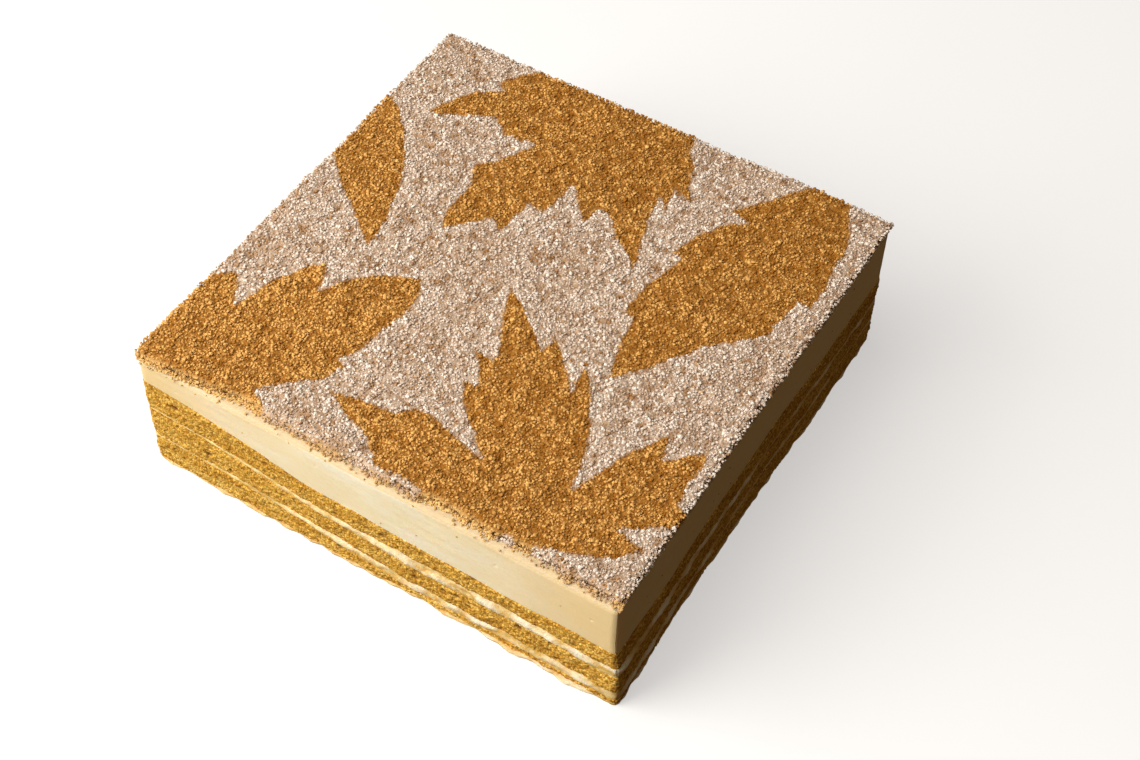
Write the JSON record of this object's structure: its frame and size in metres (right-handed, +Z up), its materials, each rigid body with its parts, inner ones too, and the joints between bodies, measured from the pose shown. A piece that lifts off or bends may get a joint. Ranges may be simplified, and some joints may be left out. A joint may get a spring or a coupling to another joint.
{
  "type": "layer cake",
  "caption": "Square layer cake of sponge and cream, with a thick slab of set cream and a crumb top dusted with sugar around bare leaf shapes.",
  "frame": {"origin": "middle of the cake's underside, on the surface that it stands on", "axes": "+Z up through the layers; X along the front side, whose -X end has the thickest sponges; +Y towards the back"},
  "size_m": [0.2041, 0.2039, 0.0658],
  "materials": {
    "crumb": "matte and coarse-grained, dusted with icing sugar in places",
    "set_cream": "smooth and satin",
    "sponge": "matte and porous",
    "filling": "soft and satin"
  },
  "bodies": {
    "root": {"crumb_topping": "crumb", "cream_slab": "set_cream", "sponge_top": "sponge", "filling_upper": "filling", "sponge_middle": "sponge", "filling_lower": "filling", "sponge_bottom": "sponge", "base_cream": "filling"}
  },
  "joints": []
}
